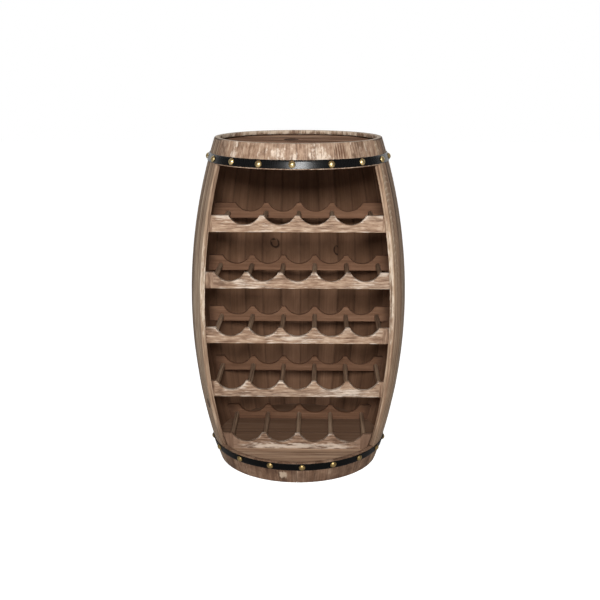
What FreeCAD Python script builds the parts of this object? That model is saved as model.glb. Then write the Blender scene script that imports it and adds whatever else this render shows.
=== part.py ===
import FreeCAD, Part
import math
import os

# A barrel that stands on its end, open at the front, with racks for lying bottles inside.
# Millimetres. The origin is on the barrel's axis at the ground, +Z is up and the opening faces -Y.
# Angles around the barrel are in degrees from the front, growing towards +X.

# The barrel
barrel_height = 800.0
belly_radius = 262.4
end_radius = 198.4
stave_thickness = 12.0
stave_count = 30
open_stave_count = 10
stave_gap = 0.4

# The flat steel hoops, and how far the short staves reach past them
hoop_width = 18.4
hoop_thickness = 2.0
top_hoop_inset = 34.6
bottom_hoop_inset = 37.2
header_lip = 2.6
footer_lip = 2.2

# The round-headed nails of the hoops
nail_head_diameter = 16.0
nail_head_height = 5.4
nail_shank_diameter = 3.0
nail_tip_cover = 1.0
nails_per_hoop = 17
nail_side_step = 0.6

# The top and the floor, planks let into grooves of the staves
top_recess = 11.0
floor_height = 37.8
plank_thickness = 12.0
plank_count = 4
plank_gap = 0.6
groove_depth = 3.0
top_groove_room = 2.0

# The strips that hold the planks together
batten_width = 40.0
batten_thickness = 14.0
batten_spacing = 140.0
bearer_width = 36.0
bearer_spacing = 100.0
strip_end_gap = 6.0

# The screws of the strips
screw_head_diameter = 8.0
screw_head_height = 3.0
screw_shank_diameter = 4.0
screw_bite = 8.0
screw_edge = 18.0
bearer_grip = 16.0

# The racks: scalloped boards at the front and the back, joined by round rods
shelf_count = 5
top_bay_height = 156.0
cradle_pitch = 80.0
cradle_peak = 10.0
cradle_depth = 22.0
cradle_web = 16.5
cradle_end_flat = 8.0
# Shelves with fewer cradles have them wider apart, by these shares of the pitch
cradle_spread_shares = {1: 1.03, 5: 1.03}
board_thickness = 12.0
front_board_set_back = 110.0
board_spacing = 200.0
rod_diameter = 12.0
rod_height = 13.5
rod_seat = 8.0
# The outer rods of these shelves stand further out, by these shares of the pitch
end_rod_shift_shares = {1: 0.16}

# The brads that hold the board ends to the staves
brad_diameter = 2.4
brad_length = 30.0
brad_recess = 0.6

# Fits: wood against wood, a driven nail or glued rod in its hole, a hoop round the staves
wood_clearance = 0.3
hole_clearance = 0.1
hoop_clearance = 0.2
overrun = 5.0

# Small moves of single nails along the hoop, in shares of a nail step, counted from the front
top_nail_shift_shares = {-3: -0.04, -2: -0.03, -1: -0.08, 0: -0.11, 1: 0.0, 2: 0.03, 3: 0.06}
bottom_nail_shift_shares = {-2: 0.13, -1: 0.2, 0: 0.17, 1: 0.13, 2: 0.09, 3: 0.06}

# Places that follow from the sizes above
stave_angle = 360.0 / stave_count
opening_half_angle = open_stave_count * stave_angle / 2
gap_angle = math.degrees(stave_gap / belly_radius)
middle_height = barrel_height / 2
bulge = belly_radius - end_radius
arc_radius = (middle_height ** 2 + bulge ** 2) / (2 * bulge)
origin = FreeCAD.Vector(0, 0, 0)
up = FreeCAD.Vector(0, 0, 1)


def surface_radius(height, offset):
    """Radius of the barrel's curved wall at a height, moved outwards by an offset."""
    reach = math.sqrt((arc_radius + offset) ** 2 - (height - middle_height) ** 2)
    return belly_radius - arc_radius + reach


def inside_radius(height):
    return surface_radius(height, -stave_thickness)


top_hoop_high = barrel_height - top_hoop_inset
top_hoop_low = top_hoop_high - hoop_width
bottom_hoop_low = bottom_hoop_inset
bottom_hoop_high = bottom_hoop_low + hoop_width
header_low = top_hoop_low - header_lip
footer_high = bottom_hoop_high + footer_lip
nail_step = 360.0 / nails_per_hoop

top_plank_high = barrel_height - top_recess
top_plank_low = top_plank_high - plank_thickness
top_radius = inside_radius(top_plank_low) + groove_depth
floor_high = floor_height + plank_thickness
floor_radius = inside_radius(floor_high) + groove_depth
nail_bite = surface_radius(floor_height, 0) - floor_radius - nail_tip_cover

board_height = cradle_web + cradle_depth
shelf_spacing = (header_low - top_bay_height - floor_high) / (shelf_count - 1)
front_board_rear = board_thickness - front_board_set_back
back_board_front = board_spacing - front_board_set_back
widest_board_place = max(front_board_set_back, back_board_front + board_thickness)
brad_height = (rod_height + rod_diameter / 2 + board_height) / 2


def wall_point(height, offset):
    return FreeCAD.Vector(surface_radius(height, offset), 0, height)


def wall_arc(start, end, offset):
    middle = wall_point((start + end) / 2, offset)
    return Part.Arc(wall_point(start, offset), middle, wall_point(end, offset)).toShape()


def wall_section(low, high, inner_offset, outer_offset):
    """Upright slice of a curved wall between two heights, in the XZ plane."""
    inner = wall_arc(low, high, inner_offset)
    upper = Part.makeLine(wall_point(high, inner_offset), wall_point(high, outer_offset))
    outer = wall_arc(high, low, outer_offset)
    lower = Part.makeLine(wall_point(low, outer_offset), wall_point(low, inner_offset))
    return Part.Face(Part.Wire([inner, upper, outer, lower]))


def sweep_wall(section, start_angle, sweep_angle):
    """Turn a slice round the axis, from an angle counted from the front."""
    start = section.copy()
    start.rotate(origin, up, start_angle - 90)
    return start.revolve(origin, up, sweep_angle)


def place(angle, radius, height):
    turn = math.radians(angle)
    return FreeCAD.Vector(radius * math.sin(turn), -radius * math.cos(turn), height)


def near(shape, tools):
    return [tool for tool in tools if shape.BoundBox.intersect(tool.BoundBox)]


def cut_by(shape, tools):
    """Cut a solid by the tools that lie near it."""
    close = near(shape, tools)
    return shape.cut(close) if close else shape


def rod(diameter, length, start, direction):
    return Part.makeCylinder(diameter / 2, length, start, direction)


# Nails

def nail_places(hoop_low, shift_shares, side):
    """Places and outward directions of a hoop's nails, on the hoop's outer face."""
    places = []
    for index in range(nails_per_hoop):
        count = index - nails_per_hoop // 2
        angle = (count + shift_shares.get(count, 0)) * nail_step
        height = hoop_low + hoop_width / 2 + side * nail_side_step * (count % 2)
        slope = math.asin((height - middle_height) / arc_radius)
        outwards = place(angle, math.cos(slope), math.sin(slope))
        seat = place(angle, surface_radius(height, hoop_clearance + hoop_thickness), height)
        places.append((seat, outwards))
    return places


def nail(seat, outwards):
    """A domed nail: a spherical cap on a round shank, turned from half its outline."""
    head_radius = nail_head_diameter / 2
    sideways = outwards.cross(up).normalize()
    shank_side = sideways * (nail_shank_diameter / 2)
    tip = seat - outwards * (nail_bite + hoop_clearance + hoop_thickness)
    crown = seat + outwards * nail_head_height
    rim = seat + sideways * head_radius
    straight = Part.makePolygon([crown, tip, tip + shank_side, seat + shank_side, rim])
    cap_radius = (head_radius ** 2 + nail_head_height ** 2) / (2 * nail_head_height)
    ball_centre = crown - outwards * cap_radius
    bend = ball_centre + ((crown + rim) / 2 - ball_centre).normalize() * cap_radius
    dome = Part.Arc(rim, bend, crown).toShape()
    return Part.Face(Part.Wire([straight, dome])).revolve(seat, outwards, 360)


def nail_hole(seat, outwards):
    diameter = nail_shank_diameter + 2 * hole_clearance
    depth = nail_bite + hoop_clearance + hoop_thickness + hole_clearance
    return rod(diameter, depth + overrun, seat - outwards * depth, outwards)


top_nail_places = nail_places(top_hoop_low, top_nail_shift_shares, -1)
bottom_nail_places = nail_places(bottom_hoop_low, bottom_nail_shift_shares, 1)
top_nail_holes = [nail_hole(*spot) for spot in top_nail_places]
bottom_nail_holes = [nail_hole(*spot) for spot in bottom_nail_places]


# Brads

def shelf_bottom(shelf):
    """Height of a shelf's lower edge. Shelf 1 is the highest."""
    return floor_high + (shelf_count - shelf) * shelf_spacing


def brad_places():
    """Outer end and inward direction of each brad, through a stave into a board's end."""
    places = []
    board_middles = (front_board_rear - board_thickness / 2, back_board_front + board_thickness / 2)
    for shelf in range(1, shelf_count + 1):
        height = shelf_bottom(shelf) + brad_height
        for board_middle in board_middles:
            reach = math.sqrt(surface_radius(height, 0) ** 2 - board_middle ** 2)
            for side in (-1, 1):
                outer_end = FreeCAD.Vector(side * (reach - brad_recess), board_middle, height)
                places.append((outer_end, FreeCAD.Vector(-side, 0, 0)))
    return places


def brad(outer_end, inwards):
    return rod(brad_diameter, brad_length, outer_end, inwards)


def brad_hole(outer_end, inwards):
    start = outer_end - inwards * (brad_recess + overrun)
    length = brad_recess + overrun + brad_length + hole_clearance
    return rod(brad_diameter + 2 * hole_clearance, length, start, inwards)


brad_holes = [brad_hole(*spot) for spot in brad_places()]


# Top and floor

def plank_width(disc_radius):
    return 2 * disc_radius / plank_count


def disc_planks(disc_radius, low):
    """A round panel cut into planks that run from left to right, the front plank first."""
    disc = Part.makeCylinder(disc_radius, plank_thickness, FreeCAD.Vector(0, 0, low))
    width = plank_width(disc_radius)
    planks = []
    for index in range(plank_count):
        front = index * width - disc_radius + plank_gap / 2
        corner = FreeCAD.Vector(-disc_radius, front, low)
        slab = Part.makeBox(2 * disc_radius, width - plank_gap, plank_thickness, corner)
        planks.append(disc.common(slab))
    return planks


def screw_rows(disc_radius):
    """Where a strip is screwed to each plank: near the plank's edge that faces the middle."""
    width = plank_width(disc_radius)
    rows = []
    for index in range(plank_count):
        middle = (index + 0.5) * width - disc_radius
        if abs(middle) < width / 4:
            rows.append(0)
        else:
            rows.append(middle - math.copysign(width / 2 - screw_edge, middle))
    return rows


def panel_groove(disc_radius, low, room):
    """The groove that a panel sits in: it rests on the groove's lower edge."""
    radius = disc_radius + wood_clearance
    return Part.makeCylinder(radius, plank_thickness + room, FreeCAD.Vector(0, 0, low))


grooves = [
    panel_groove(top_radius, top_plank_low, top_groove_room),
    panel_groove(floor_radius, floor_height, wood_clearance),
]


def screw(head_low, length):
    """A flat-headed screw that points upwards, with its head at the bottom."""
    cone = Part.makeCone(screw_head_diameter / 2, screw_shank_diameter / 2, screw_head_height, head_low)
    return cone.fuse(rod(screw_shank_diameter, length, head_low, up))


def screw_hole(head_low, length, counterbore):
    """A screw's hole with its countersink, and below it a wider bore for the driver."""
    clear = 2 * hole_clearance
    head_radius = screw_head_diameter / 2 + hole_clearance
    shank_radius = screw_shank_diameter / 2 + hole_clearance
    cone = Part.makeCone(head_radius, shank_radius, screw_head_height, head_low)
    shank = rod(screw_shank_diameter + clear, length + hole_clearance, head_low, up)
    bore = Part.makeCylinder(head_radius, counterbore, head_low - up * counterbore)
    return cone.fuse([shank, bore])


batten_low = top_plank_low - batten_thickness
batten_places = (-batten_spacing / 2, batten_spacing / 2)
bearer_places = (-bearer_spacing, 0, bearer_spacing)
batten_screw_length = batten_thickness + screw_bite
bearer_screw_length = bearer_grip + screw_bite
bearer_counterbore = floor_height - bearer_grip


def strip_half_length(across, width, room_radius):
    """Half the length of a strip that ends just short of the staves."""
    return math.sqrt(room_radius ** 2 - (abs(across) + width / 2) ** 2) - strip_end_gap


def screw_places(strips, width, room_radius, rows, head_low):
    """Places of the screws' heads, in the rows that each strip reaches."""
    places = []
    for across in strips:
        reach = strip_half_length(across, width, room_radius) - screw_head_diameter
        reached = [row for row in rows if abs(row) < reach]
        places.extend(FreeCAD.Vector(across, row, head_low) for row in reached)
    return places


batten_room = inside_radius(top_plank_low)
bearer_room = inside_radius(0)
top_rows = screw_rows(top_radius)
floor_rows = screw_rows(floor_radius)
batten_screw_places = screw_places(batten_places, batten_width, batten_room, top_rows, batten_low)
bearer_screw_places = screw_places(bearer_places, bearer_width, bearer_room, floor_rows, bearer_counterbore)
driver_bore = bearer_counterbore + overrun
batten_screw_holes = [screw_hole(spot, batten_screw_length, overrun) for spot in batten_screw_places]
bearer_screw_holes = [screw_hole(spot, bearer_screw_length, driver_bore) for spot in bearer_screw_places]


def strip(across, width, low, thickness, room_radius):
    """A straight strip from front to back."""
    half_length = strip_half_length(across, width, room_radius)
    corner = FreeCAD.Vector(across - width / 2, -half_length, low)
    return Part.makeBox(width, 2 * half_length, thickness, corner)


# Staves and hoops

def staves(first_angle, count, low, high):
    """Staves side by side, grooved for the panels and drilled for the nails and brads."""
    section = wall_section(low, high, -stave_thickness, 0)
    tools = grooves + top_nail_holes + bottom_nail_holes + brad_holes
    made = []
    for index in range(count):
        start = first_angle + index * stave_angle + gap_angle / 2
        made.append(cut_by(sweep_wall(section, start, stave_angle - gap_angle), tools))
    return made


def hoop(low, nail_holes):
    """A flat band bent into a ring that flares with the barrel, drilled for its nails."""
    high = low + hoop_width
    outer = hoop_clearance + hoop_thickness
    inner_side = [wall_point(low, hoop_clearance), wall_point(high, hoop_clearance)]
    outer_side = [wall_point(high, outer), wall_point(low, outer)]
    section = Part.Face(Part.makePolygon(inner_side + outer_side + inner_side[:1]))
    return section.revolve(origin, up, 360).cut(nail_holes)


# Racks

def board_room(shelf):
    """Half the length that a shelf's boards have between the staves."""
    low = shelf_bottom(shelf)
    narrowest = min(inside_radius(low), inside_radius(low + board_height))
    return math.sqrt(narrowest ** 2 - widest_board_place ** 2)


def cradle_total(shelf):
    room = 2 * (board_room(shelf) - cradle_end_flat) + cradle_peak
    return int(room / cradle_pitch)


def shelf_pitch(shelf):
    return cradle_pitch * cradle_spread_shares.get(shelf, 1.0)


def rod_places(shelf):
    """Distances from the middle at which rods join the boards: beside every cradle."""
    total = cradle_total(shelf)
    pitch = shelf_pitch(shelf)
    places = [(index - total / 2) * pitch for index in range(total + 1)]
    shift = end_rod_shift_shares.get(shelf, 0.0) * pitch
    return [places[0] - shift] + places[1:-1] + [places[-1] + shift]


def cradle_outline(shelf):
    """Outline of a scalloped board, longer than its room, in the XZ plane."""
    low = shelf_bottom(shelf)
    high = low + board_height
    dip = high - cradle_depth
    edges = []
    pen = FreeCAD.Vector(-belly_radius, 0, high)
    total = cradle_total(shelf)
    pitch = shelf_pitch(shelf)
    cradle_width = pitch - cradle_peak
    for index in range(total):
        middle = (index - (total - 1) / 2) * pitch
        start = FreeCAD.Vector(middle - cradle_width / 2, 0, high)
        bottom = FreeCAD.Vector(middle, 0, dip)
        end = FreeCAD.Vector(middle + cradle_width / 2, 0, high)
        edges.append(Part.makeLine(pen, start))
        edges.append(Part.Arc(start, bottom, end).toShape())
        pen = end
    corners = [
        pen,
        FreeCAD.Vector(belly_radius, 0, high),
        FreeCAD.Vector(belly_radius, 0, low),
        FreeCAD.Vector(-belly_radius, 0, low),
        FreeCAD.Vector(-belly_radius, 0, high),
    ]
    for first, second in zip(corners, corners[1:]):
        edges.append(Part.makeLine(first, second))
    return Part.Wire(edges)


def stave_room():
    """The space that the staves keep the boards out of, a clearance wider than the staves."""
    shell = wall_section(0, barrel_height, -stave_thickness - wood_clearance, belly_radius)
    side_clearance = math.degrees(wood_clearance / end_radius)
    start = opening_half_angle - side_clearance
    around = sweep_wall(shell, start, 360 - 2 * start)
    foot = wall_section(0, footer_high + wood_clearance, -stave_thickness - wood_clearance, belly_radius)
    return [around, foot.revolve(origin, up, 360)]


def barrel_envelope():
    """The barrel as one solid block, which the boards stay inside."""
    side = wall_arc(0, barrel_height, 0)
    top = Part.makeLine(wall_point(barrel_height, 0), FreeCAD.Vector(0, 0, barrel_height))
    axis = Part.makeLine(FreeCAD.Vector(0, 0, barrel_height), origin)
    bottom = Part.makeLine(origin, wall_point(0, 0))
    return Part.Face(Part.Wire([side, top, axis, bottom])).revolve(origin, up, 360)


room_taken = stave_room()
envelope = barrel_envelope()
rod_start = front_board_rear - rod_seat
rod_length = board_spacing - board_thickness + 2 * rod_seat


def shelf_rods(shelf, diameter, extra):
    """A shelf's rods, or with a clearance the holes that they are glued into."""
    height = shelf_bottom(shelf) + rod_height
    along = FreeCAD.Vector(0, 1, 0)
    starts = [FreeCAD.Vector(across, rod_start - extra, height) for across in rod_places(shelf)]
    return [rod(diameter, rod_length + 2 * extra, start, along) for start in starts]


def cradle_board(shelf, front):
    """A scalloped board, cut to fit the staves and drilled for rods and brads."""
    outline = Part.Face(cradle_outline(shelf))
    blank = outline.extrude(FreeCAD.Vector(0, board_thickness, 0))
    blank.translate(FreeCAD.Vector(0, front, 0))
    holes = shelf_rods(shelf, rod_diameter + 2 * hole_clearance, hole_clearance)
    return cut_by(blank.common(envelope), room_taken + holes + brad_holes)


# Export

def largest_solid(shape):
    """The piece itself, without offcuts that a cut left beyond the staves."""
    return max(shape.Solids, key=lambda solid: solid.Volume)


def save(name, shapes):
    """Write one piece, or a group of separate like pieces, under its name."""
    solids = [largest_solid(shape) for shape in shapes]
    whole = solids[0] if len(solids) == 1 else Part.makeCompound(solids)
    whole.exportStep("parts/" + name + ".step")


os.makedirs("parts", exist_ok=True)

full_stave_count = stave_count - open_stave_count
for number, piece in enumerate(staves(opening_half_angle, full_stave_count, 0, barrel_height), 1):
    save(f"stave_{number:02d}", [piece])
save("header_staves", staves(-opening_half_angle, open_stave_count, header_low, barrel_height))
save("footer_staves", staves(-opening_half_angle, open_stave_count, 0, footer_high))

save("top_hoop", [hoop(top_hoop_low, top_nail_holes)])
save("bottom_hoop", [hoop(bottom_hoop_low, bottom_nail_holes)])
save("top_hoop_nails", [nail(*spot) for spot in top_nail_places])
save("bottom_hoop_nails", [nail(*spot) for spot in bottom_nail_places])

for number, piece in enumerate(disc_planks(top_radius, top_plank_low), 1):
    save(f"top_plank_{number}", [cut_by(piece, batten_screw_holes)])
for number, piece in enumerate(disc_planks(floor_radius, floor_height), 1):
    save(f"floor_plank_{number}", [cut_by(piece, bearer_screw_holes)])
for number, across in enumerate(batten_places, 1):
    piece = strip(across, batten_width, batten_low, batten_thickness, batten_room)
    save(f"top_batten_{number}", [cut_by(piece, batten_screw_holes)])
for number, across in enumerate(bearer_places, 1):
    piece = strip(across, bearer_width, 0, floor_height, bearer_room)
    save(f"floor_bearer_{number}", [cut_by(piece, bearer_screw_holes)])
save("batten_screws", [screw(spot, batten_screw_length) for spot in batten_screw_places])
save("bearer_screws", [screw(spot, bearer_screw_length) for spot in bearer_screw_places])

for shelf in range(1, shelf_count + 1):
    save(f"front_cradle_{shelf}", [cradle_board(shelf, -front_board_set_back)])
    save(f"back_cradle_{shelf}", [cradle_board(shelf, back_board_front)])
    save(f"shelf_{shelf}_rods", shelf_rods(shelf, rod_diameter, 0))
save("shelf_brads", [brad(*spot) for spot in brad_places()])
print("cradles on each shelf:", [cradle_total(shelf) for shelf in range(1, shelf_count + 1)])
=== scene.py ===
import math
import bmesh
import bpy
import numpy as np
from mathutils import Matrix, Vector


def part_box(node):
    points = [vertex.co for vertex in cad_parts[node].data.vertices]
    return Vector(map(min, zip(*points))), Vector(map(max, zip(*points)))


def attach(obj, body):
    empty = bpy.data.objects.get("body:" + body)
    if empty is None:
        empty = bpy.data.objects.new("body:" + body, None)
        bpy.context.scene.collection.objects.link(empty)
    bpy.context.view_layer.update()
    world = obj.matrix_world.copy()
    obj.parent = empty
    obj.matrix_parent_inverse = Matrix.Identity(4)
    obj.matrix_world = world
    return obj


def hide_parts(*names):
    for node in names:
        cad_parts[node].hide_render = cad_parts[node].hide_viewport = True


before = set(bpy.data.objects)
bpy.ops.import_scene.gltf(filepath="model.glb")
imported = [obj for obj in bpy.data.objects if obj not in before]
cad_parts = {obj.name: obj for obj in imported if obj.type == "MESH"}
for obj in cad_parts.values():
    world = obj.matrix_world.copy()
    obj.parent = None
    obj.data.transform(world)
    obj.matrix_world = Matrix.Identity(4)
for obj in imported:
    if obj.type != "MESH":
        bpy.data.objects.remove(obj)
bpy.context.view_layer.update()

# Barrel bottle rack, in metres. Angles go round from the front (-Y) towards +X.
print("frame loaded:", len(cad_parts), "nodes")

barrel = {
    "height": 0.800, "belly": 0.2624, "end": 0.1984, "thick": 0.012,
    "staves": 30, "openStaves": 10, "seam": 0.0004,
    "topLow": 0.7770, "topHigh": 0.7890, "topRoom": 0.7910, "topGroove": 0.19645,
    "floorLow": 0.0378, "floorRoom": 0.0501, "floorGroove": 0.20446,
    "headerLow": 0.7444, "footerHigh": 0.0578,
}
seeds = {  # each kind of piece has its own run of chance
    "log": 5000, "stave": 100, "knots": 77, "header": 300, "footer": 400, "top": 500, "floor": 520,
    "frontBoard": 600, "backBoard": 620, "rod": 700, "topHoop": 800, "bottomHoop": 810,
    "topNail": 900, "bottomNail": 950,
}
halfHeight = barrel["height"] / 2
bulge = barrel["belly"] - barrel["end"]
arcRadius = (halfHeight ** 2 + bulge ** 2) / (2 * bulge)
staveAngle = 360 / barrel["staves"]
openAngle = barrel["openStaves"] * staveAngle / 2
softStep = 0.3  # the middle point of a rounded edge, as a share of its size
sharpAngle = 38  # edges that turn by more than this stay crisp
farOff = 60.0  # a place with no knot near it, in knot sizes


def wallRadius(z, inwards=0.0):
    return barrel["belly"] - arcRadius + np.sqrt((arcRadius - inwards) ** 2 - (z - halfHeight) ** 2)


def nextSeed(rng):
    return rng.integers(1 << 30)


def waves(seed, size, count=7):
    # a smooth random line, about -1 to 1, with bumps about this long
    rng = np.random.default_rng(seed)
    pace, start = rng.uniform(0.4, 1.6, count) / size, rng.uniform(0, 1, count)

    def line(x):
        turns = np.asarray(x, float)[..., None] * pace + start
        return np.sin(2 * np.pi * turns).sum(-1) / count ** 0.5
    return line


def hollows(seed, along, across, count=12):
    # a smooth random field, 0 to about 1, longer along the grain than across it
    rng = np.random.default_rng(seed)
    pace = rng.normal(0, 1, (count, 2)) / (along, across)
    start = rng.uniform(0, 1, count)

    def field(u, v):
        turns = u[..., None] * pace[:, 0] + v[..., None] * pace[:, 1] + start
        return np.clip(0.5 + 0.5 * np.sin(2 * np.pi * turns).sum(-1) / (count / 2) ** 0.5, 0, 1.3)
    return field


def lie(seed):
    # where in its log a piece was cut, and its tone
    rng = np.random.default_rng(seed + seeds["log"])
    return np.array([rng.uniform(0, 9), rng.uniform(-0.06, 0.06), rng.uniform(0.015, 0.075)]), rng.uniform()


def patches(places, height, spots, key):
    # how pale and how dark the wood is under a list of spots
    pale, dark = np.zeros(places.shape), np.zeros(places.shape)
    for spot in spots:
        across, upward = (places - spot[key]) / spot["wide"], (height - spot["z"]) / spot["tall"]
        near = np.exp(-across ** 4 - upward ** 4)
        pale, dark = pale + near * spot.get("pale", 0), dark + near * spot.get("dark", 0)
    return pale, dark


def noKnot(shape):
    return np.full(shape + (3,), farOff)


class Stock:  # what a piece is made of, until it becomes a mesh
    def __init__(self):
        self.points, self.grain, self.marks, self.knot, self.tone = [], [], [], [], []
        self.faces, self.looks, self.size = [], [], 0

    def loft(self, rings, grain, marks, knot, tone, looks, endLook=0, closed=False):
        count, around = rings.shape[:2]
        spots = self.size + np.arange(count * around).reshape(count, around)
        low, high = (spots, np.roll(spots, -1, 0)) if closed else (spots[:-1], spots[1:])
        quads = np.stack([low, np.roll(low, -1, 1), np.roll(high, -1, 1), high], -1)
        self.faces += quads.reshape(-1, 4).tolist()
        self.looks += np.broadcast_to(looks, low.shape).ravel().tolist()
        if not closed:
            self.faces += [spots[0][::-1].tolist(), spots[-1].tolist()]
            self.looks += [endLook, endLook]
        self.points.append(rings.reshape(-1, 3))
        self.grain.append(grain.reshape(-1, 3))
        self.marks.append(marks.reshape(-1, 3))
        self.knot.append(knot.reshape(-1, 3))
        self.tone.append(np.full(count * around, tone))
        self.size += count * around

    def build(self, name, materials, slot, nodes):
        mesh = bpy.data.meshes.new(name)
        mesh.from_pydata(np.concatenate(self.points).tolist(), [], self.faces)
        mesh.polygons.foreach_set("material_index", self.looks)
        mesh.polygons.foreach_set("use_smooth", [True] * len(self.faces))
        work = bmesh.new()
        work.from_mesh(mesh)
        bmesh.ops.recalc_face_normals(work, faces=work.faces)
        work.to_mesh(mesh)
        work.free()
        mesh.set_sharp_from_angle(angle=math.radians(sharpAngle))
        for key in ("grain", "marks", "knot"):
            layer = mesh.attributes.new(key, "FLOAT_VECTOR", "POINT")
            layer.data.foreach_set("vector", np.concatenate(getattr(self, key)).ravel())
        mesh.attributes.new("tone", "FLOAT", "POINT").data.foreach_set("value", np.concatenate(self.tone))
        for material in materials:
            mesh.materials.append(material)
        piece = bpy.data.objects.new(name, mesh)
        bpy.context.scene.collection.objects.link(piece)
        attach(piece, "root")
        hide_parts(*nodes)


# Shaders: a wire is a socket that can be used in sums
class Wire:
    def __init__(self, shade, socket):
        self.shade, self.socket = shade, socket

    def sum(self, operation, *values):
        return self.shade.node("ShaderNodeMath", {"operation": operation}, dict(enumerate(values)))

    def __add__(self, other):
        return self.sum("ADD", self, other)

    def __sub__(self, other):
        return self.sum("SUBTRACT", self, other)

    def __rsub__(self, other):
        return self.sum("SUBTRACT", other, self)

    def __mul__(self, other):
        return self.sum("MULTIPLY", self, other)

    def __pow__(self, other):
        return self.sum("POWER", self, other)

    __radd__ = __add__
    __rmul__ = __mul__


def linear(color):
    # screen colour, 0 to 255, to what a shader takes
    shares = [part / 255 for part in color]
    return tuple(c / 12.92 if c <= 0.04045 else ((c + 0.055) / 1.055) ** 2.4 for c in shares) + (1.0,)


class Shade:
    def __init__(self, material, shader="Principled BSDF"):
        self.material = material
        self.material.use_nodes = True
        self.tree = self.material.node_tree
        self.surface = self.tree.nodes[shader]

    def node(self, kind, settings, sockets, output=0):
        made = self.tree.nodes.new(kind)
        for key, value in settings.items():
            if key == "stops":
                ramp = made.color_ramp.elements
                while len(ramp) < len(value):
                    ramp.new(0.5)
                for stop, (place, color) in zip(ramp, value):
                    stop.position, stop.color = place, linear(color)
            else:
                setattr(made, key, value)
        for key, value in sockets.items():
            if isinstance(value, Wire):
                self.tree.links.new(value.socket, made.inputs[key])
            else:
                made.inputs[key].default_value = value
        return Wire(self, made.outputs[output])

    def attribute(self, name, output="Vector"):
        return self.node("ShaderNodeAttribute", {"attribute_name": name}, {}, output)

    def parts(self, vector):
        split = self.node("ShaderNodeSeparateXYZ", {}, {"Vector": vector}).socket.node
        return [Wire(self, socket) for socket in split.outputs]

    def noise(self, place, stretch, detail=3.0, rough=0.55):
        spot = self.node("ShaderNodeVectorMath", {"operation": "MULTIPLY"}, {0: place, 1: stretch})
        sockets = {"Vector": spot, "Scale": 1.0, "Detail": detail, "Roughness": rough}
        return self.node("ShaderNodeTexNoise", {}, sockets)

    def fade(self, value, low, high):
        return self.node("ShaderNodeMapRange", {"interpolation_type": "SMOOTHSTEP"},
                         {"Value": value, "From Min": low, "From Max": high})

    def band(self, value, rise, fall):
        # up over the first span, down over the second
        return self.fade(value, *rise) * (1 - self.fade(value, *fall))

    def mix(self, share, first, second):
        return self.node("ShaderNodeMix", {"data_type": "RGBA"}, {0: share, 6: first, 7: second}, 2)

    def ramp(self, value, stops):
        return self.node("ShaderNodeValToRGB", {"stops": stops}, {"Fac": value})

    def feed(self, sockets):
        for key, value in sockets.items():
            if isinstance(value, Wire):
                self.tree.links.new(value.socket, self.surface.inputs[key])
            else:
                self.surface.inputs[key].default_value = value

    def bump(self, height, strength, distance):
        return self.node("ShaderNodeBump", {}, {"Height": height, "Strength": strength, "Distance": distance})


# What all woods share. A stretch is repeats per metre along, across and into the log
woodCut = {
    "swayStretch": (0.8, 7, 7), "bendStretch": (2.1, 13, 11), "fibreStretch": (16, 1300, 1300),
    "broadStretch": (1.5, 20, 20), "greyStretch": (1.3, 30, 30), "pitStretch": (110, 700, 700),
    "lateRise": (0.45, 0.93), "lateFall": (0.94, 1.0), "greySpan": (0.38, 0.66),
    "washFibre": 0.35, "washStreak": 0.3, "washSpan": 0.22,
    "stainAndShadeFibre": 0.3, "stainAndShadeStreak": 0.7, "stainAndShadeSpan": (0.3, 0.75),
    "seamSpan": (0.55, 0.9), "lineSpan": (0.58, 0.7), "pitSpan": (0.7, 0.8),
    "roughStreak": 0.2, "roughWash": 0.1, "bumpDepth": 0.0007,
}
relief = {
    "streak": 0.55, "fibre": 0.2, "rings": -0.8, "wash": 0.25, "stainAndShade": -0.5, "pits": -0.8, "lines": -0.5,
}
knotCut = {  # in knot sizes
    "ragged": 0.5, "halo": (0.6, 3.6), "core": (0.75, 1.0), "ringRise": (0.72, 0.95), "ringFall": (1.05, 1.5),
    "gapStretch": (0.7, 0.7, 0.7), "gaps": (0.35, 0.5), "coreShare": 0.7, "ringShare": 0.85, "push": 2.6,
}
combCut = {"sway": 0.02, "bend": 0.012, "cloud": 0.003, "base": 0.45, "span": (0.3, 0.6)}
archCut = {
    "bow": 40, "bend": 0.14, "ragged": 0.008, "perMetre": 64, "start": (0.4, 0.66),
    "sides": (0.00006, 0.0003),  # the distance from the middle, squared
    "rise": (0.5, 0.8), "fall": (0.84, 1.0), "worn": (0.42, 0.7), "shadow": 0.3,
}


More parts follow.
